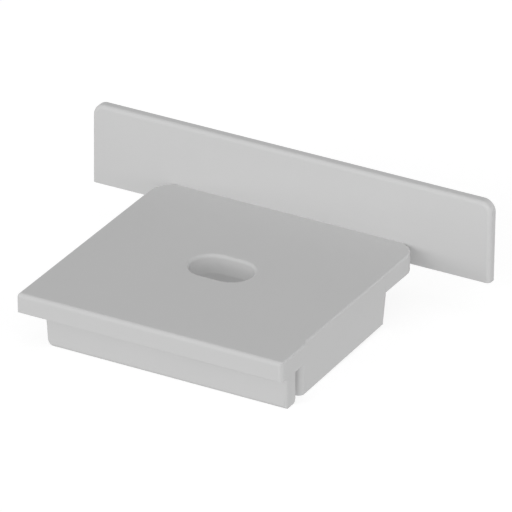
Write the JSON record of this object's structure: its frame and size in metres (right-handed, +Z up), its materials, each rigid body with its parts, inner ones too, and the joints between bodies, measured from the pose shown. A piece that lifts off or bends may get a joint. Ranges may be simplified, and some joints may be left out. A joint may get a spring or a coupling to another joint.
{
  "type": "profile end cap",
  "caption": "Moulded push-in end cap: thin plate over a flat profile's end, with a slotted tongue and hollow box skirt that fit inside the profile.",
  "frame": {"origin": "middle of the plate's inner face, which seats on the cut end of the profile", "axes": "+X along the plate, to the right as seen from the tongue's nose; +Y out of the profile, through the plate; +Z up, away from the skirt"},
  "size_m": [0.04, 0.026, 0.011],
  "materials": {
    "grey_plastic": "even light grey with a fine satin moulded surface"
  },
  "bodies": {
    "root": {"end_cap": "grey_plastic"}
  },
  "joints": []
}
